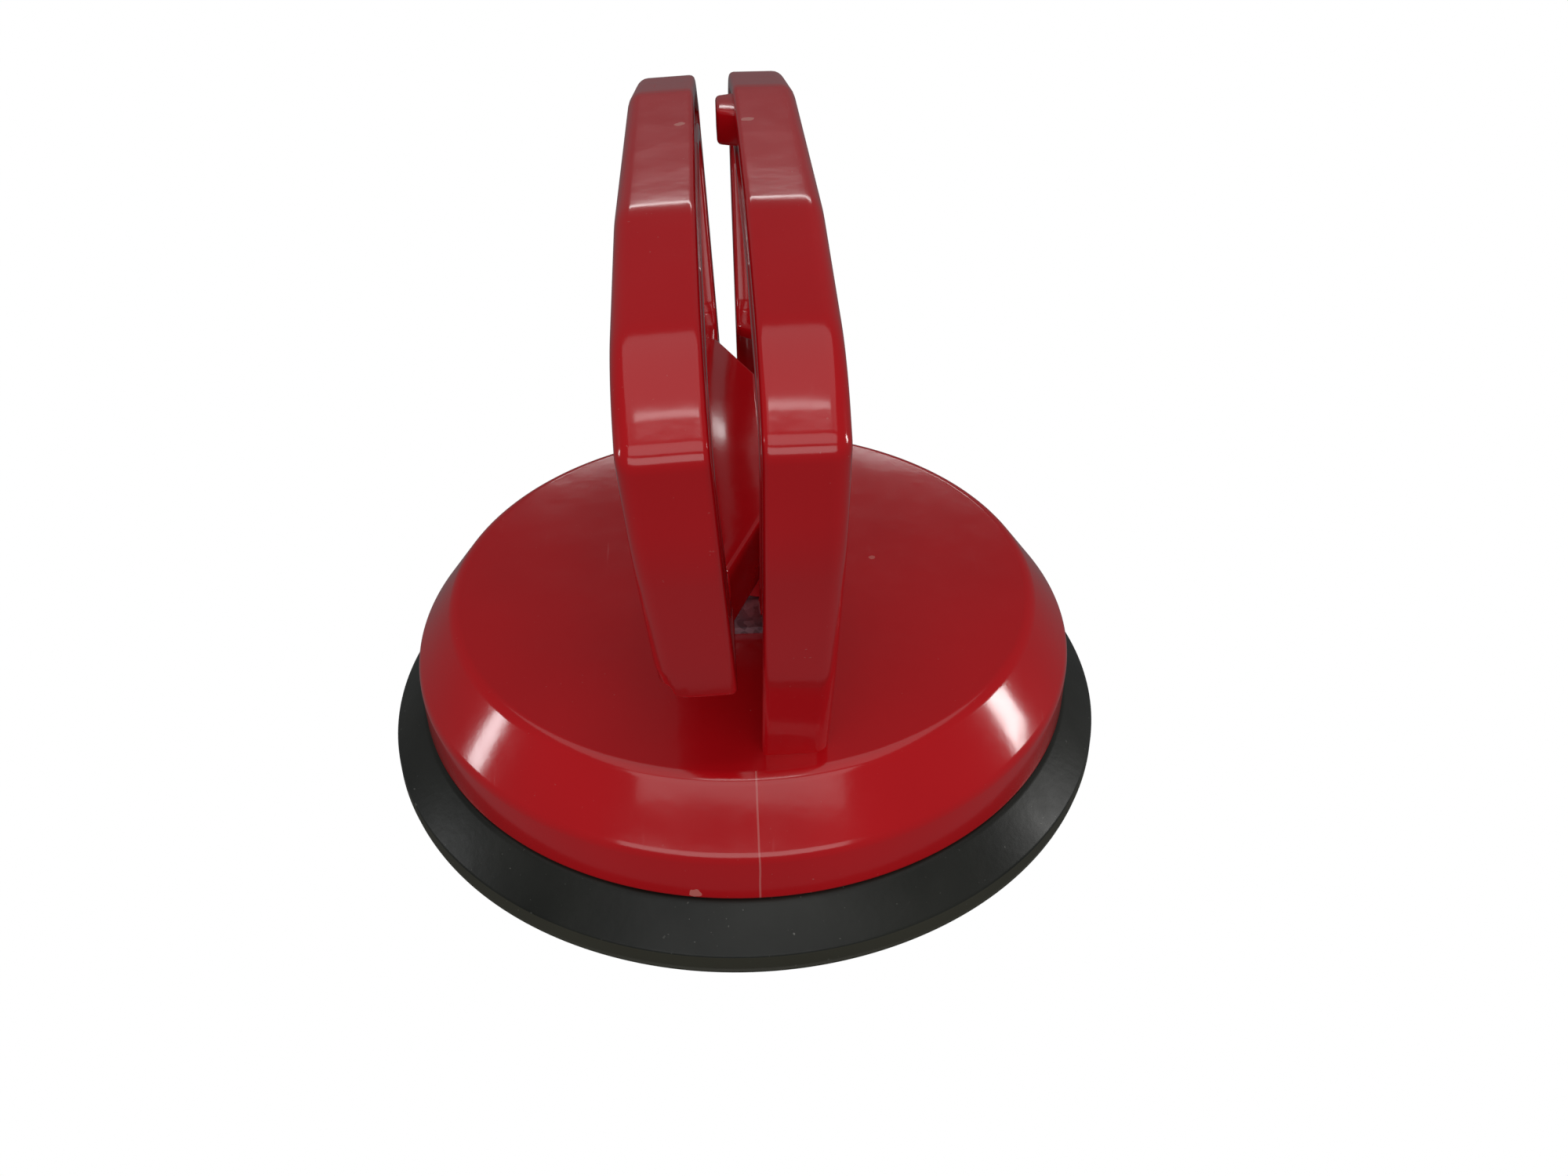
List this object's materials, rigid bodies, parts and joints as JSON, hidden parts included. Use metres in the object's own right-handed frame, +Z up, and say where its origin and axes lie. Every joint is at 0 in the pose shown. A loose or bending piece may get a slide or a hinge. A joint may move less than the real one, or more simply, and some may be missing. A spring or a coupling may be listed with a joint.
{
  "type": "hand vacuum suction cup lifter",
  "caption": "Round rubber vacuum cup under a domed shell with a fixed D-shaped handle and a cam lever handle that pulls the cup's middle up to grip a smooth surface.",
  "frame": {"origin": "centre of the sealing lip's plane, under the dome's axis", "axes": "+Z up along the dome's axis, Y along both handles, +X from the lever towards the fixed handle"},
  "size_m": [0.118, 0.12, 0.0961],
  "materials": {
    "red_shell": "glossy injection-moulded plastic",
    "red_lever": "glossy injection-moulded plastic",
    "rubber": "satin black rubber",
    "steel": "zinc-plated steel",
    "zinc_plate": "speckled galvanised steel",
    "pin_steel": "bright steel"
  },
  "bodies": {
    "base": {"base_shell": "red_shell", "rubber_pad": "rubber", "wear_plate": "zinc_plate"},
    "stem": {"backing_disc": "steel", "pad_stud": "steel", "lock_nut": "steel", "eye_stem": "steel"},
    "lever": {"lever_handle": "red_lever", "hinge_pin": "pin_steel", "pin_clips": "pin_steel"}
  },
  "joints": [
    {"name": "stem_lift", "type": "slide", "parent": "base", "child": "stem", "axis": [0, 0, 1], "range_m": [-0.00319, 0.00016], "deforming": ["rubber_pad"]},
    {"name": "lever_hinge", "type": "hinge", "parent": "stem", "child": "lever", "pos_m": [0, 0, 0.03494], "axis": [0, 1, 0], "range_deg": [-57.1, 2.9]}
  ],
  "couplings": [
    {"joint": "lever_hinge", "follows": "stem_lift", "rad_per_m": 312.5}
  ]
}
